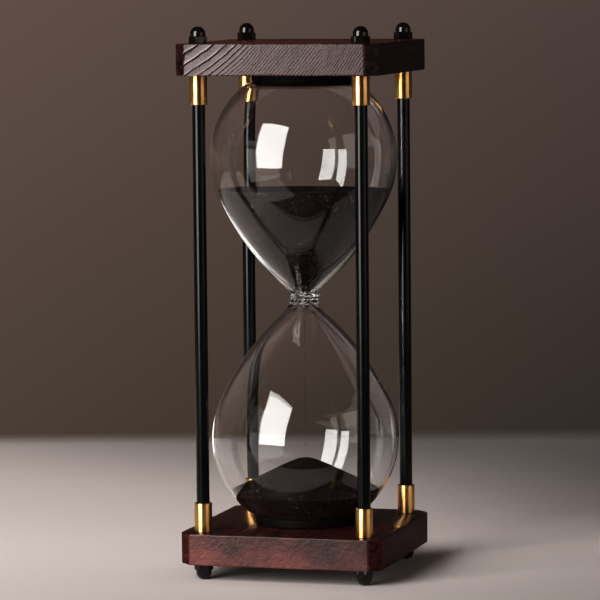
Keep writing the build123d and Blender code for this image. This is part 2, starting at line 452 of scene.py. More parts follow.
def wood_end_material(name, contrast, strength, shine, fall, lift):
    """End grain under thin dull lacquer: painted shade in the grooves, painted highlight on the
    crests.

    The colour darkens by the share fall towards +X, and by the share lift upwards.
    """
    material, principled, tree = new_material(name)
    # The ring attribute carries painted light: a painted highlight on the ring crests and painted
    # shade in the grooves.
    rings = node(tree, "ShaderNodeAttribute", attribute_name="ring").outputs["Fac"]
    place = object_place(tree)
    fibre = noise(tree, object_place(tree, (1.0, 0.12, 1.0)), 1.6, 5.0, 0.65)
    blotch = noise(tree, place, 0.06, 3.0, 0.5, 0.4)
    # The painted crest highlight and groove shade also lighten and darken the stain tone here.
    painted_ring_light_part = math(tree, "MULTIPLY", rings, contrast)
    figure = math(tree, "ADD", painted_ring_light_part, math(tree, "MULTIPLY", blotch, 1 - contrast))
    sideways = along(tree, place, (1, 0, 0))
    height = along(tree, place, (0, 0, 1))
    end = PLATE_HALF / MM
    # Darker towards +X by the share fall, and towards the top by the share lift.
    drift = rescale(tree, sideways, -end, end, 1 + fall, 1 - fall)
    climb = rescale(tree, height, base_low.z / MM, base_high.z / MM, 1 + lift, 1 - lift)
    drift = math(tree, "MULTIPLY", drift, climb)
    stain = mix_colour(tree, 1.0, wood_tone(tree, figure, fibre, strength), drift, "MULTIPLY")
    # Painted shade: the stain darkened in the ring grooves.
    groove = ramp(tree, rings, ((0.1, grey(1 - contrast)), (0.4, grey(1.0))))
    stain = mix_colour(tree, 1.0, stain, groove, "MULTIPLY")
    # Painted highlight: the ring crests paled towards a light colour.
    painted_crest_highlight_share = ramp(tree, rings, ((0.62, grey(0.0)), (0.95, grey(contrast))))
    stain = mix_colour(tree, painted_crest_highlight_share, stain, PAINTED_CREST_HIGHLIGHT)
    wear = rescale(tree, sideways, -end, end, -0.04, 0.08)
    rough = math(tree, "ADD", ramp(tree, fibre, ((0.3, grey(0.36)), (0.72, grey(0.48)))), wear)
    rough = math(tree, "SUBTRACT", rough, math(tree, "MULTIPLY", rings, 0.14 * contrast))
    dress(tree, principled, stain, rough, shine)
    bump(tree, principled, fibre, 0.5, 0.12 * MM)
    return material


def long_grain(tree):
    """Fine streaks that run with the grain, along Y."""
    return noise(tree, object_place(tree, (1.0, 0.045, 1.0)), 0.9, 6.0, 0.6, 0.3)


def wood_side_material(name, strength, shine, relief, mottle):
    """Long grain on the sides and cut corners, filled and smooth under dark lacquer."""
    material, principled, tree = new_material(name)
    streak = long_grain(tree)
    blotch = noise(tree, object_place(tree), 0.35, 2.0, 0.5, 0.4)
    blotch = rescale(tree, blotch, 0.3, 0.7, 0.5 - mottle, 0.5 + mottle)
    colour = wood_tone(tree, blotch, streak, strength)
    rough = ramp(tree, streak, ((0.3, grey(0.28)), (0.75, grey(0.4))))
    dress(tree, principled, colour, rough, shine)
    bump(tree, principled, streak, relief, 0.15 * MM)
    return material


def wood_face_material(name, strength, shine):
    """Long grain under gloss lacquer on the flat faces of the plates."""
    material, principled, tree = new_material(name)
    streak = long_grain(tree)
    band = noise(tree, object_place(tree, (1.0, 0.02, 1.0)), 0.16, 3.0, 0.5, 1.2)
    band = rescale(tree, band, 0.25, 0.75, 0.38, 0.62)
    colour = wood_tone(tree, band, streak, strength)
    rough = ramp(tree, streak, ((0.3, grey(0.21)), (0.75, grey(0.31))))
    dress(tree, principled, colour, rough, shine)
    bump(tree, principled, streak, 0.12, 0.05 * MM)
    return material


brass = brass_material()
post_tones = {"dark": (0.002, 0.002, 0.0023), "pale": (0.0044, 0.004, 0.0041)}
post_paint = black_paint_material(
    "satin_black_paint", low=0.15, high=0.19, shine=0.25, peel=0.04, **post_tones
)
nut_tones = {"dark": (0.0046, 0.0028, 0.0027), "pale": (0.009, 0.0055, 0.0053)}
nut_paint = black_paint_material(
    "gloss_black_paint", low=0.12, high=0.17, shine=0.48, peel=0.08, **nut_tones
)
rubber = rubber_material("black_rubber")
glass = glass_material()
sand = sand_material("dark_sand")
wood_end_ridged = wood_end_material(
    "ridged_end_grain", contrast=0.7, strength=0.04, shine=0.37, fall=0.0, lift=0.0
)
wood_end_smooth = wood_end_material(
    "smooth_end_grain", contrast=0.12, strength=0.087, shine=0.38, fall=0.36, lift=0.3
)
wood_side_dark = wood_side_material(
    "dark_side_grain", strength=0.021, shine=0.13, relief=0.8, mottle=0.36
)
wood_side_red = wood_side_material(
    "red_side_grain", strength=0.055, shine=0.025, relief=0.15, mottle=0.16
)
# Lit and shaded copies of one lacquered wood: the top plate's flat faces, open to the lamps, are
# painted several times lighter than the base plate's.
wood_face_top = wood_face_material("lacquered_wood_painted_lighter", strength=0.15, shine=0.17)
wood_face_base = wood_face_material("lacquered_wood", strength=0.042, shine=0.15)


# ---- wooden plates
def outline(step):
    """Points and outward directions round a square with cut, slightly eased corners."""
    half, cut, ease = PLATE_HALF, PLATE_CORNER, PLATE_CORNER_EASE
    corners = []
    for turn in range(4):
        a = turn * pi / 2
        for x, y in ((half - cut, -half), (half, -half + cut)):
            corners.append(Vector((x * cos(a) - y * sin(a), x * sin(a) + y * cos(a))))
    reach = ease * tan(pi / 8)
    places, normals = [], []
    for k, corner in enumerate(corners):
        following = corners[(k + 1) % 8]
        before = (corner - corners[k - 1]).normalized()
        after = (following - corner).normalized()
        first, second = Vector((before.y, -before.x)), Vector((after.y, -after.x))
        middle = corner - before * reach - first * ease
        for t in np.linspace(0, 1, 5):
            direction = (first * (1 - t) + second * t).normalized()
            places.append(middle + direction * ease)
            normals.append(direction)
        start = places[-1]
        length = (following - corner).length - 2 * reach
        count = int(length / step)
        for j in range(1, count):
            places.append(start + after * length * j / count)
            normals.append(second)
    return np.array(places), np.array(normals)


def ring_phase(points, seed, centre, wide, narrow, near, far):
    """Growth rings round a pith: a phase whose whole numbers are late wood, and their width.

    The rings narrow from wide to narrow between the distances near and far from the pith.
    """
    sway = value_noise(points, 14 * MM, seed) * 0.9 * MM
    sway = sway + value_noise(points, 4 * MM, seed + 1) * 0.22 * MM
    reach = np.hypot(points[:, 0] - centre[0], points[:, 2] - centre[1]) + sway
    steps = np.linspace(0, 0.3, 3001)
    width = wide + (narrow - wide) * smooth_step(near, far, steps)
    count = np.concatenate(([0], np.cumsum((steps[1:] - steps[:-1]) / width[1:])))
    return np.interp(reach, steps, count), np.interp(reach, steps, width)


def plate_rows(low, high, around, outward, seed):
    """Rows of points up a plate's side, and how much of the relief each row takes.

    The rows lie between two unevenly eased edges, with a few nicks in the upper one.
    """
    columns = len(around)
    flat = np.column_stack((around, np.zeros(columns)))
    low_waves = 0.22 * value_noise(flat, 9 * MM, seed)
    low_chips = 0.1 * value_noise(flat, 1.3 * MM, seed + 3)
    ease_low = (0.5 + low_waves + low_chips) * MM
    high_waves = 0.2 * value_noise(flat, 7 * MM, seed + 5)
    high_chips = 0.12 * value_noise(flat, 1.1 * MM, seed + 6)
    ease_high = (0.5 + high_waves + high_chips) * MM
    nick = value_noise(flat, 2.2 * MM, seed + 8)
    ease_high += smooth_step(0.55, 0.8, nick) * 0.35 * MM
    rows = []

    def add_row(inset, height, share):
        rows.append((np.column_stack((around - outward * inset[:, None], height)), share))

    edge_turns = np.linspace(0, pi / 2, 4)
    for a in edge_turns:
        add_row(ease_low * (1 - sin(a)), low.z + ease_low * (1 - cos(a)), sin(a))
    start, end = low.z + ease_low, high.z - ease_high
    count = int((high.z - low.z) / PLATE_STEP)
    for k in range(1, count):
        add_row(np.zeros(columns), start + (end - start) * (k / count), 1.0)
    for a in edge_turns[::-1]:
        add_row(ease_high * (1 - sin(a)), high.z - ease_high * (1 - cos(a)), sin(a))
    return rows


def plate_relief(points, normals, rings, depth, grain, seed):
    """How far the rings and grain stand out, and the painted highlight and shade they carry."""
    phase, width = ring_phase(points, seed, **rings)
    part = phase - np.floor(phase)
    rise = np.clip((part - 0.1) / 0.78, 0, 1)
    ridge = (0.3 * rise + 0.7 * rise**3) * (1 - smooth_step(0.88, 1.0, part))
    # Painted highlight along the top of each ring, where the raised wood catches the light.
    painted_crest_highlight = smooth_step(0.58, 0.8, part) * (1 - smooth_step(0.85, 0.92, part))
    # Painted shade in the groove beside each raised ring.
    groove = np.maximum(smooth_step(0.88, 0.95, part), 1 - smooth_step(0.0, 0.16, part))
    strength = np.clip(width / (4 * MM), 0.15, 1) ** 1.3
    breaks = 0.65 + 0.5 * value_noise(points, 5 * MM, seed + 11)
    end_share = normals[:, 1] ** 2
    stretched = points * np.array((1, 0.12, 1))
    rough = value_noise(stretched, 0.7 * MM, seed + 12) * 0.5
    rough = rough + value_noise(stretched, 1.9 * MM, seed + 13) * 0.5
    relief = depth * end_share * strength * breaks * (ridge - 1)
    relief += grain * (0.35 + 0.65 * end_share) * (rough - 1) * 0.8
    relief += 0.1 * MM * (value_noise(points, 16 * MM, seed + 14) - 1)
    # The tone is the painted highlight less the painted shade, weaker on narrow rings.
    tone = (painted_crest_highlight - groove) * np.clip(width / (4 * MM), 0.55, 1) * np.clip(breaks + 0.2, 0, 1)
    return relief, tone


def carved_plate(name, low, high, rings, depth, grain, materials, seed):
    """A plate whose upright faces carry real growth-ring relief and hand-eased edges.

    rings says how the growth rings lie, depth and grain are heights of the relief, and
    materials are those of the end grain, the sides and the flat faces.
    """
    around, outward = outline(PLATE_STEP)
    columns = len(around)
    rows = plate_rows(low, high, around, outward, seed)
    points = np.concatenate([row for row, _ in rows])
    share = np.repeat([share for _, share in rows], columns)
    normals = np.tile(outward, (len(rows), 1))
    relief, tone = plate_relief(points, normals, rings, depth, grain, seed)
    points[:, :2] += normals * (relief * share)[:, None]
    faces = []
    for r in range(len(rows) - 1):
        below, above = r * columns, (r + 1) * columns
        for c in range(columns):
            n = (c + 1) % columns
            faces.append((below + c, below + n, above + n, above + c))
    hole_points, hole_faces, low_rings, high_rings = stud_holes(low, high, len(points))
    all_points = np.concatenate((points, hole_points))
    low_rim = list(range(columns))
    high_rim = list(range((len(rows) - 1) * columns, len(rows) * columns))
    obj = add_object(name, all_points, faces + hole_faces, materials[0], PLATE_SHARP)
    # The ring attribute holds painted light: a painted highlight on the crests and painted shade
    # in the grooves.
    painted_ring_light_values = np.concatenate((0.5 + 0.5 * tone, np.full(len(hole_points), 0.5)))
    attribute = obj.data.attributes.new("ring", "FLOAT", "POINT")
    attribute.data.foreach_set("value", painted_ring_light_values.astype(np.float32))
    close_flat_face(obj, [low_rim, *low_rings])
    close_flat_face(obj, [high_rim, *high_rings])
    face_outwards(obj)
    obj.data.materials.append(materials[1])
    obj.data.materials.append(materials[2])
    for polygon in obj.data.polygons:
        if abs(polygon.normal.z) > FLAT_FACE_NORMAL:
            polygon.material_index = 2
        elif abs(polygon.center.y) < high.y - END_GRAIN_DEPTH:
            polygon.material_index = 1
    obj.data.set_sharp_from_angle(angle=radians(PLATE_SHARP))
    return obj


def stud_holes(low, high, first):
    """Walls of the four stud holes, and the index loops of their rims."""
    points, faces, low_rings, high_rings = [], [], [], []
    segments = HOLE_SEGMENTS
    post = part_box("post_front_right")
    spot = (post[0].x + post[1].x) / 2
    for x, y in product((-spot, spot), repeat=2):
        start = first + len(points)
        for z in (low.z, high.z):
            for k in range(segments):
                a = 2 * pi * k / segments
                points.append((x + STUD_HOLE_RADIUS * cos(a), y + STUD_HOLE_RADIUS * sin(a), z))
        for k in range(segments):
            n = (k + 1) % segments
            faces.append((start + k, start + segments + k, start + segments + n, start + n))
        low_rings.append(list(range(start, start + segments)))
        high_rings.append(list(range(start + segments, start + 2 * segments)))
    return np.array(points), faces, low_rings, high_rings


def close_flat_face(obj, loops):
    """Fill the flat space between an outer rim and the hole rims inside it."""
    mesh = bmesh.new()
    mesh.from_mesh(obj.data)
    mesh.verts.ensure_lookup_table()
    edges = []
    for loop in loops:
        for a, b in zip(loop, loop[1:] + loop[:1]):
            first, second = mesh.verts[a], mesh.verts[b]
            edges.append(mesh.edges.get((first, second)) or mesh.edges.new((first, second)))
    bmesh.ops.triangle_fill(mesh, edges=edges, use_beauty=True)
    mesh.to_mesh(obj.data)
    mesh.free()


def build_plates():
    """The two plates; the upper one has bolder rings and deeper relief."""
    upper = carved_plate(
        "carved_top_plate",
        top_low,
        top_high,
        rings={
            "centre": (-98 * MM, top_low.z + 98 * MM),
            "wide": 4.5 * MM,
            "narrow": 1.3 * MM,
            "near": 0.104,
            "far": 0.126,
        },
        depth=0.6 * MM,
        grain=0.08 * MM,
        materials=(wood_end_ridged, wood_side_dark, wood_face_top),
        seed=3,
    )
    finish_piece(upper, "top_plate")
    lower = carved_plate(
        "carved_base_plate",
        base_low,
        base_high,
        rings={
            "centre": (30 * MM, base_low.z - 60 * MM),
            "wide": 2.4 * MM,
            "narrow": 1.6 * MM,
            "near": 0.05,
            "far": 0.12,
        },
        depth=0.03 * MM,
        grain=0.12 * MM,
        materials=(wood_end_smooth, wood_side_red, wood_face_base),
        seed=21,
    )
    finish_piece(lower, "base_plate")


# ---- posts and metal
def rounded_tube(outer, inner, low, high, edge):
    """Closed outline of a sleeve with rounded outer rims."""
    points = [(inner, low), (outer - edge, low)]
    points += arc((outer - edge, low + edge), edge, -90, 0, 5)[1:]
    points += arc((outer - edge, high - edge), edge, 0, 90, 5)
    points += [(inner, high)]
    return points


def build_posts():
    """Posts with their studs, and the ferrules at both ends."""
    for corner in CORNERS:
        low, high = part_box(f"post_{corner}")
        centre = ((low.x + high.x) / 2, (low.y + high.y) / 2, 0)
        radius = (high.x - low.x) / 2
        profile = [
            (0, low.z),
            (STUD_RADIUS - STUD_CHAMFER, low.z),
            (STUD_RADIUS, low.z + STUD_CHAMFER),
            (STUD_RADIUS, base_high.z),
            (radius, base_high.z),
            (radius, top_low.z),
            (STUD_RADIUS, top_low.z),
            (STUD_RADIUS, high.z - STUD_CHAMFER),
            (STUD_RADIUS - STUD_CHAMFER, high.z),
            (0, high.z),
        ]
        name = f"turned_post_{corner}"
        post = lathe(name, profile, centre, post_paint, POST_SEGMENTS)
        finish_piece(post, f"post_{corner}")
        for level in ("base", "top"):
            name = f"{level}_ferrule_{corner}"
            low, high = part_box(name)
            profile = rounded_tube(FERRULE_RADIUS, FERRULE_BORE, low.z, high.z, FERRULE_EDGE)
            turned = f"turned_{name}"
            ferrule = lathe(turned, profile, centre, brass, FERRULE_SEGMENTS, closed=True)
            finish_piece(ferrule, name)


def nut_profile(height):
    """Outline of a cap nut from its bore over the seat, hexagon and dome to the top."""
    corner = NUT_FLATS / sqrt(3)
    dome_centre = height - sqrt(NUT_DOME_RADIUS**2 - NUT_DOME_LAND**2)
    end_turn = np.degrees(np.arccos(NUT_DOME_LAND / NUT_DOME_RADIUS))
    points = [(0, NUT_BORE_DEPTH), (NUT_BORE_RADIUS, NUT_BORE_DEPTH), (NUT_BORE_RADIUS, 0)]
    points += spaced([(corner - 3 * NUT_SEAT_EDGE, 0), (corner, NUT_SEAT_EDGE)], 0.08 * MM)
    cone_start = NUT_HEX_HEIGHT - (corner - NUT_FLATS / 2) / 2
    points += spaced([(corner, cone_start - 0.3 * MM), (corner, cone_start)], 0.1 * MM)
    cone_end = (NUT_FLATS / 2 - 0.1 * MM, NUT_HEX_HEIGHT)
    points += spaced([(corner, cone_start), cone_end], 0.06 * MM)[1:]
    points += [(NUT_DOME_RADIUS + 0.12 * MM, NUT_HEX_HEIGHT)]
    points += [(NUT_DOME_RADIUS, NUT_HEX_HEIGHT + 0.12 * MM)]
    points += arc((0, dome_centre), NUT_DOME_RADIUS, 0, end_turn, 16)
    points += [(0, height)]
    return points


def hexagon(radii, _height, angles):
    """Radii kept inside the hexagon across the flats, with slightly rounded corners."""
    sector = (angles - angles[0]) % (pi / 3) - pi / 6
    flat = NUT_FLATS / 2 / np.cos(sector)
    flat = np.minimum(flat, flat.min() * NUT_CORNER_LIMIT)
    power = NUT_CORNER_POWER
    soft = (radii**-power + flat**-power) ** (-1 / power)
    return np.where(radii > NUT_FLATS / 2 - 0.2 * MM, np.minimum(radii, soft), radii)


def build_nuts():
    """Cap nuts on the upper plate, and the same nuts as feet."""
    for corner, (kind, way) in product(CORNERS, (("foot_nut", -1), ("top_nut", 1))):
        name = f"{kind}_{corner}"
        low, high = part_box(name)
        seat = low.z if way > 0 else high.z
        centre = ((low.x + high.x) / 2, (low.y + high.y) / 2, seat)
        profile = [(r, h * way) for r, h in nut_profile(high.z - low.z)]
        turn = radians(NUT_TURNS[corner] * way)
        domed = f"domed_{name}"
        nut = lathe(domed, profile, centre, nut_paint, ROUND_SEGMENTS, shape=hexagon, turn=turn)
        finish_piece(nut, name)


def build_pads():
    """Round rubber pads between the plates and the glass, and the stopper's rubber."""
    edge = PAD_EDGE
    for name in ("base_pad", "top_pad"):
        low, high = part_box(name)
        radius = (high.x - low.x) / 2
        profile = [(0, low.z)]
        profile += arc((radius - edge, low.z + edge), edge, -90, 0, 6)
        profile += arc((radius - edge, high.z - edge), edge, 0, 90, 6)
        profile += [(0, high.z)]
        pad = lathe(f"rounded_{name}", profile, (0, 0, 0), rubber, ROUND_SEGMENTS)
        finish_piece(pad, name)
    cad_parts["fill_stopper"].data.materials[0] = rubber


# ---- glass
def flank(radius, neck_point, count):
    """Arc from a bulb circle at the shoulder to the neck, as (radius, distance)."""
    drop = BULB_CENTRE - SHOULDER
    start = np.array((sqrt(radius**2 - drop**2), SHOULDER))
    tangent = np.array((-drop, -start[0])) / radius
    side = np.array((tangent[1], -tangent[0]))
    chord = np.array(neck_point) - start
    bend = (chord @ chord) / (2 * chord @ side)
    centre = start + side * bend
    first = np.arctan2(*(start - centre)[::-1])
    last = np.arctan2(*(np.array(neck_point) - centre)[::-1])
    turns = np.linspace(first, last, count)
    return [(centre[0] + abs(bend) * cos(t), centre[1] + abs(bend) * sin(t)) for t in turns]


def bulb_side(radius, end_level, blend, neck_point):
    """One bulb's outline from the rim of its flat end to the neck, as (radius, distance)."""
    drop = BULB_CENTRE - SHOULDER
    start_turn = np.degrees(np.arcsin(-drop / radius))
    blend_height = end_level - blend - BULB_CENTRE
    end_turn = np.degrees(np.arcsin(blend_height / (radius - blend)))
    blend_centre = ((radius - blend) * cos(radians(end_turn)), end_level - blend)
    points = arc(blend_centre, blend, 90, end_turn, 9)
    points += arc((0, BULB_CENTRE), radius, end_turn, start_turn, 60)[1:]
    points += flank(radius, neck_point, 44)[1:]
    return points


def neck_ring(count):
    """Half of the thick ring round the neck, from the flank to the groove in its middle."""
    top, bead, groove = NECK_START, NECK_BEAD_RADIUS, NECK_GROOVE_RADIUS
    points = []
    for t in np.linspace(0, 1, count):
        level = top[1] * (1 - t)
        swell = sin(pi * min(1, t * 1.15)) * (bead - (top[0] + groove) / 2)
        points.append((top[0] + (groove - top[0]) * t + swell, level))
    return points[1:]


def outer_half():
    """Outside of one bulb, from its flat end to the middle of the neck."""
    return bulb_side(BULB_RADIUS, GLASS_END, END_BLEND, NECK_START) + neck_ring(14)


def inner_side(shrink):
    """Inside of one bulb, less a gap, from its flat end to the passage through the neck."""
    flare = (BORE_FLARE[0] - shrink, BORE_FLARE[1])
    end_level = GLASS_END - END_WALL - shrink
    return bulb_side(BULB_RADIUS - WALL - shrink, end_level, END_BLEND - WALL, flare)


def ring_points(radii, height, angles):
    """The points of one ring about the vertical axis."""
    level = np.full(len(angles), height)
    return np.column_stack((radii * np.cos(angles), radii * np.sin(angles), level))


def hand_blown(radii, height, angles):
    """Slow uneven swelling of the bulbs and lumps in the thick neck."""
    points = ring_points(radii, height, angles)
    near_neck = 1 - smooth_step(2.6 * MM, 6.5 * MM, abs(height))
    size = np.clip(radii / (20 * MM), 0, 1)
    wave = value_noise(points, 34 * MM, 40) * 0.16 * MM
    wave = wave + value_noise(points, 15 * MM, 41) * 0.05 * MM
    lumps = value_noise(points, 2.8 * MM, 42) * 0.9 * MM
    lumps = lumps + value_noise(points, 1.3 * MM, 43) * 0.9 * MM
    thick = smooth_step(3 * MM, 5 * MM, radii)
    return radii + wave * size + lumps * near_neck * thick


def build_glass():
    """Both bulbs and the neck as one closed wall with the fill hole at the upper end."""
    outside, inside = outer_half(), inner_side(0)
    bore = [(BORE_RADIUS, FUNNEL_END), (BORE_RADIUS, 0)]
    profile = [(0, -GLASS_END)] + [(r, -h) for r, h in outside]
    profile += outside[::-1][1:]
    profile += [(FILL_HOLE_RADIUS, GLASS_END), (FILL_HOLE_RADIUS, GLASS_END - END_WALL)]
    profile += inside + bore
    profile += [(r, -h) for r, h in (inside + bore)[::-1][1:]] + [(0, -GLASS_END + END_WALL)]
    centre = (0, 0, NECK_LEVEL)
    piece = lathe("blown_bulb", profile, centre, glass, GLASS_SEGMENTS, shape=hand_blown)
    finish_piece(piece, "glass_bulb")


# ---- sand
def against_glass(low_level, high_level):
    """The stretch of the sand's outline against the glass between two distances from the neck."""
    side = [p for p in inner_side(SAND_GAP) if low_level < p[1] < high_level]
    return sorted(side, key=lambda p: p[1])


def reach_at(level):
    """Radius of the sand against the glass at a distance from the neck."""
    side = sorted(inner_side(SAND_GAP), key=lambda p: p[1])
    return float(np.interp(level, [p[1] for p in side], [p[0] for p in side]))


def grainy(radii, height, angles):
    """The glass's own unevenness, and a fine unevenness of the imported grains."""
    points = ring_points(radii, height, angles)
    grain = (value_noise(points, 0.9 * MM, 60) - 1) * 0.05 * MM
    return hand_blown(radii, height, angles) + grain


def roughen(obj, level_of, lean, seed):
    """Lift the points of a free sand surface by fine and coarse unevenness.

    lean is the rise per metre towards the front, left by the last turn of the frame.
    """
    mesh = obj.data
    points = np.array([v.co for v in mesh.vertices])
    height = points[:, 2] - NECK_LEVEL
    reach = np.hypot(points[:, 0], points[:, 1])
    free = smooth_step(-0.02 * MM, 0.0, height - level_of(reach))
    wave = value_noise(points, 11 * MM, seed) * 0.5 * MM
    wave = wave + value_noise(points, 3.5 * MM, seed + 1) * 0.16 * MM
    grain = value_noise(points, 0.7 * MM, seed + 2) * 0.12 * MM
    rim = np.clip((np.max(reach) - reach) / (4 * MM), 0, 1)
    points[:, 2] += free * (wave * rim + grain)
    share = smooth_step(0.3, 1.0, height / np.max(height)) if lean else 0.0
    points[:, 2] -= share * lean * points[:, 1]
    mesh.vertices.foreach_set("co", points.astype(np.float32).ravel())
    mesh.update()


def upper_surface(reach):
    """Level of the sand in the upper bulb: nearly flat, with a shallow dip in the middle."""
    dip = 3.0 * MM
    return UPPER_LEVEL - dip * np.exp(-((reach / (17 * MM)) ** 2))


def pile_surface(reach):
    """Level of the pile below the neck: a cone with a rounded peak."""
    rim = reach_at(PILE_RIM)
    slope = (PILE_RIM - PILE_PEAK) / rim
    soft = 5.0 * MM
    return -(PILE_PEAK + slope * (np.sqrt(reach**2 + soft**2) - soft * 0.45))


def free_surface(rim, level_of):
    """Outline of a free sand surface from its rim to the middle."""
    inward = np.linspace(1, 0, int(rim / SAND_STEP))
    return [(rim * t, float(level_of(rim * t))) for t in inward]


def build_sand():
    """Sand in both bulbs and the thread that falls between them."""
    centre = (0, 0, NECK_LEVEL)
    profile = [(0, FUNNEL_END), (BORE_RADIUS - SAND_GAP, FUNNEL_END)]
    profile += against_glass(BORE_FLARE[1] - 0.01 * MM, UPPER_LEVEL)
    profile += free_surface(reach_at(UPPER_LEVEL), upper_surface)
    upper = lathe("upper_sand_grains", profile, centre, sand, SAND_SEGMENTS, shape=grainy)
    roughen(upper, upper_surface, lean=0.028, seed=70)
    finish_piece(upper, "upper_sand")

    rim_level = float(-pile_surface(reach_at(PILE_RIM)))
    floor_level = GLASS_END - END_WALL - SAND_GAP
    side = against_glass(rim_level, floor_level - 0.001 * MM)[::-1]
    profile = [(0, -floor_level)] + [(r, -h) for r, h in side]
    profile += free_surface(reach_at(rim_level), pile_surface)
    lower = lathe("lower_sand_pile", profile, centre, sand, SAND_SEGMENTS, shape=grainy)
    roughen(lower, pile_surface, lean=0.0, seed=80)
    finish_piece(lower, "lower_sand")

    peak = float(pile_surface(0.0)) + NECK_LEVEL
    stream = falling_grains(peak, FUNNEL_END + NECK_LEVEL, seed=95)
    finish_piece(stream, "sand_stream")


def falling_grains(low_level, high_level, seed):
    """Separate grains in free fall: small faceted lumps, further apart as they speed up."""
    chance = np.random.default_rng(seed)
    fallen = np.sort(chance.random(STREAM_GRAINS)) ** 1.6
    cloud = bmesh.new()
    for share in fallen:
        level = high_level - 0.3 * MM - share * (high_level - low_level - 0.4 * MM)
        spread = STREAM_RADIUS * (0.3 + 0.5 * share)
        offset = chance.normal(0, 0.4, 2).clip(-1, 1) * spread
        size = chance.uniform(0.09, 0.16) * MM
        place = Matrix.Translation((offset[0], offset[1], level))
        grain = bmesh.ops.create_icosphere(cloud, subdivisions=1, radius=size, matrix=place)
        for vertex in grain["verts"]:
            vertex.co += Vector(chance.normal(0, 0.12, 3)) * size
    mesh = bpy.data.meshes.new("falling_sand")
    cloud.to_mesh(mesh)
    cloud.free()
    mesh.materials.append(sand)
    obj = bpy.data.objects.new("falling_sand", mesh)
    bpy.context.scene.collection.objects.link(obj)
    return obj


build_plates()
build_posts()
build_nuts()
build_pads()
build_glass()
build_sand()


# ---- studio
CAMERA_AZIMUTH = radians(16.0)
CAMERA_DISTANCE = 1.803
CAMERA_HEIGHT = 0.3009
CAMERA_TURN = radians(0.067)
CAMERA_PITCH = radians(5.356)
CAMERA_ROLL = radians(-0.527)
CAMERA_LENS = 223.9
CAMERA_NEAR = 0.05

AHEAD = Vector((-sin(CAMERA_AZIMUTH), cos(CAMERA_AZIMUTH), 0))
ASIDE = Vector((cos(CAMERA_AZIMUTH), sin(CAMERA_AZIMUTH), 0))
UPWARD = (0, 0, 1)

FLOOR_BACK = 0.53
FLOOR_FRONT = -0.9
FLOOR_SIDE = 1.1
FLOOR_COLOUR = (0.88, 0.81, 0.785)
FLOOR_FAR_FADE = 0.07
FLOOR_NEAR_FADE = 0.35
CARD_EDGE = -0.125
CARD_LIFT = 3 * MM
CARD_BLACK = (0.07, 0.05, 0.04)
GLOW_BASE = (0.01, 0.01, 0.01)
GLOW_COLOUR = (1.0, 0.97, 0.95)
GLOW_CARDS = (
    {"name": "sill_glow", "azimuth": -26, "near": 0.2, "far": 0.66, "width": 0.24, "glow": 0.75},
    {"name": "rim_glow", "azimuth": -147.5, "near": 0.32, "far": 0.85, "width": 0.12, "glow": 1.6},
)
WALL_SHADES = (
    {"channel": "Red", "middle": 0.1697, "aside": -0.36, "rise": 0.577},
    {"channel": "Green", "middle": 0.1234, "aside": -0.255, "rise": 0.386},
    {"channel": "Blue", "middle": 0.1091, "aside": -0.178, "rise": 0.391},
)
WALL_TURN_LIMIT = 0.13
WALL_TILT_LIMITS = (-0.14, 0.06)
ROOM_COLOUR = (0.03, 0.015, 0.011)
LAMP_DISTANCE = 1.6
LAMPS = (
    {
        "name": "key_box",
        "azimuth": -26,
        "elevation": 18.5,
        "size": (1.0, 1.5),
        "radiance": 13.0,
        "colour": (1.0, 0.985, 0.97),
    },
    {
        "name": "right_panel",
        "azimuth": 72,
        "elevation": 8,
        "size": (1.3, 1.2),
        "radiance": 1.25,
        "colour": (1.0, 0.97, 0.94),
    },
)
VIEW_GAMMA = 0.76


def table_rectangle(front, back, lift=0.0):
    """Corners of a rectangle across the whole table between two depths."""
    spots = ((-FLOOR_SIDE, front), (FLOOR_SIDE, front), (FLOOR_SIDE, back), (-FLOOR_SIDE, back))
    return [ASIDE * side + AHEAD * depth + Vector((0, 0, lift)) for side, depth in spots]


def floor_material():
    """Plain pale table top with painted light falloff, darker to the right, far and near, with
    soft far and near edges.
    """
    material, principled, tree = new_material("pale_floor")
    place = node(tree, "ShaderNodeTexCoord").outputs["Object"]
    ahead = along(tree, place, AHEAD)
    # Painted light falloff: the colour darkens to the right, towards the back and near the front.
    across = rescale(tree, along(tree, place, ASIDE), -0.25, 0.3, 1.0, 0.66)
    depth = rescale(tree, along(tree, place, AHEAD + ASIDE * 0.75), 0.16, 0.56, 1.0, 0.5)
    near = rescale(tree, ahead, -0.15, 0.12, 0.75, 1.0)
    share = math(tree, "MULTIPLY", math(tree, "MULTIPLY", across, near), depth)
    colour = mix_colour(tree, 1.0, FLOOR_COLOUR, share, "MULTIPLY")
    far_edge = rescale(tree, ahead, FLOOR_BACK - FLOOR_FAR_FADE, FLOOR_BACK, 1.0, 0.0)
    near_edge = rescale(tree, ahead, FLOOR_FRONT, FLOOR_FRONT + FLOOR_NEAR_FADE, 0.0, 1.0)
    alpha = math(tree, "MULTIPLY", far_edge, near_edge)
    set_inputs(principled, {"Roughness": 0.55, "Specular IOR Level": 0.0})
    feed(tree, principled, {"Base Color": colour, "Alpha": alpha})
    return material


def build_floor():
    """A pale table top under the object."""
    corners = table_rectangle(FLOOR_FRONT, FLOOR_BACK)
    floor = add_object("floor", corners, [(0, 1, 2, 3)], floor_material())


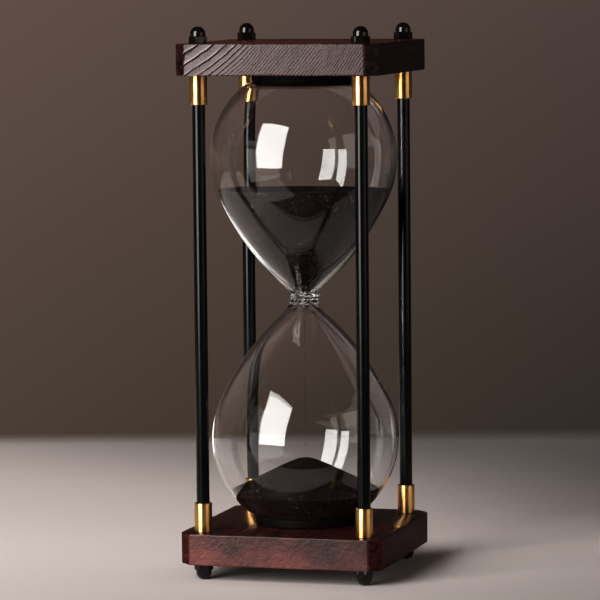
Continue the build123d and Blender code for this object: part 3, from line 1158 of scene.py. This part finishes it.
def build_world():
    """A dim warm wall behind, darker low and to the right, and a dark room in front."""
    world = bpy.data.worlds.new("studio")
    bpy.context.scene.world = world
    world.use_nodes = True
    tree = world.node_tree
    look = node(tree, "ShaderNodeTexCoord").outputs["Generated"]
    height = along(tree, look, UPWARD)
    behind = rescale(tree, along(tree, look, AHEAD), -0.3, 0.5, 0.0, 1.0)
    above = rescale(tree, height, -0.004, 0.05, 1.0, 0.35)
    turn = held(tree, along(tree, look, ASIDE), -WALL_TURN_LIMIT, WALL_TURN_LIMIT)
    tilt = held(tree, height, *WALL_TILT_LIMITS)
    wall = node(tree, "ShaderNodeCombineColor")
    for shade in WALL_SHADES:
        aside = math(tree, "MULTIPLY", turn, shade["aside"])
        slant = math(tree, "ADD", aside, math(tree, "MULTIPLY", tilt, shade["rise"]))
        level = math(tree, "ADD", slant, shade["middle"])
        feed(tree, wall, {shade["channel"]: math(tree, "MULTIPLY", level, above)})
    colour = mix_colour(tree, behind, ROOM_COLOUR, wall.outputs["Color"])
    feed(tree, tree.nodes["Background"], {"Color": colour})


def area_light(name, azimuth, elevation, size, radiance, colour):
    """A rectangular soft light aimed at the object's middle; azimuth from -Y towards +X."""
    aim = Vector((0, 0, NECK_LEVEL))
    a, e = radians(azimuth), radians(elevation)
    place = aim + LAMP_DISTANCE * Vector((sin(a) * cos(e), -cos(a) * cos(e), sin(e)))
    data = bpy.data.lights.new(name, "AREA")
    data.shape = "RECTANGLE"
    data.size, data.size_y = size
    data.energy = radiance * pi * size[0] * size[1]
    data.color = colour
    lamp = bpy.data.objects.new(name, data)
    bpy.context.scene.collection.objects.link(lamp)
    lamp.location = place
    lamp.rotation_euler = (aim - place).to_track_quat("-Z", "Y").to_euler()
    lamp.visible_camera = False


def reflection_card(name, corners, colour, glow):
    """A studio card lying over the table that only mirrored rays see: black, or softly glowing."""
    material, principled, tree = new_material(name)
    set_inputs(principled, {"Base Color": colour, "Roughness": 0.9, "Specular IOR Level": 0.0})
    set_inputs(principled, {"Emission Color": GLOW_COLOUR, "Emission Strength": glow})
    material.cycles.emission_sampling = "NONE"
    unseen = node(tree, "ShaderNodeBsdfTransparent")
    bounces = node(tree, "ShaderNodeLightPath").outputs["Glossy Depth"]
    mirrored = math(tree, "MINIMUM", bounces, 1.0)
    cover(tree, mirrored, unseen.outputs["BSDF"], principled.outputs["BSDF"])
    card = add_object(name, corners, [(0, 1, 2, 3)], material)
    card.visible_camera = False
    card.visible_shadow = False
    card.visible_diffuse = False


def build_cards():
    """Painted reflections: black over the near part of the table, and two glows before and behind
    the left side.
    """
    black = table_rectangle(FLOOR_FRONT, CARD_EDGE, CARD_LIFT)
    reflection_card("black_card", black, CARD_BLACK, 0.0)
    for card in GLOW_CARDS:
        a = radians(card["azimuth"])
        out = Vector((sin(a), -cos(a), 0))
        side = Vector((cos(a), sin(a), 0)) * card["width"] / 2
        near, far = out * card["near"], out * card["far"]
        lift = 2 * Vector((0, 0, CARD_LIFT))
        corners = [corner + lift for corner in (near - side, near + side, far + side, far - side)]
        reflection_card(card["name"], corners, GLOW_BASE, card["glow"])


def build_lights():
    """One big soft box at the front left and a dim panel at the right."""
    for lamp in LAMPS:
        area_light(**lamp)


def build_camera():
    """A long lens a little above the object, seen from the front right."""
    a, p, r = CAMERA_AZIMUTH, CAMERA_PITCH, CAMERA_ROLL
    place = Vector((CAMERA_DISTANCE * sin(a), -CAMERA_DISTANCE * cos(a), CAMERA_HEIGHT))
    heading = a + CAMERA_TURN
    level = Vector((-sin(heading), cos(heading), 0))
    up = Vector(UPWARD)
    ahead = level * cos(p) - up * sin(p)
    above = level * sin(p) + up * cos(p)
    right = ahead.cross(above)
    turned_right = right * cos(r) + above * sin(r)
    turned_up = above * cos(r) - right * sin(r)
    data = bpy.data.cameras.new("camera")
    data.lens = CAMERA_LENS
    data.clip_start = CAMERA_NEAR
    camera = bpy.data.objects.new("camera", data)
    bpy.context.scene.collection.objects.link(camera)
    axes = Matrix((turned_right, turned_up, -ahead)).transposed()
    camera.matrix_world = Matrix.Translation(place) @ axes.to_4x4()
    bpy.context.scene.camera = camera


build_floor()
build_cards()
build_world()
build_lights()
build_camera()
bpy.context.scene.view_settings.view_transform = "Standard"
bpy.context.scene.view_settings.gamma = VIEW_GAMMA
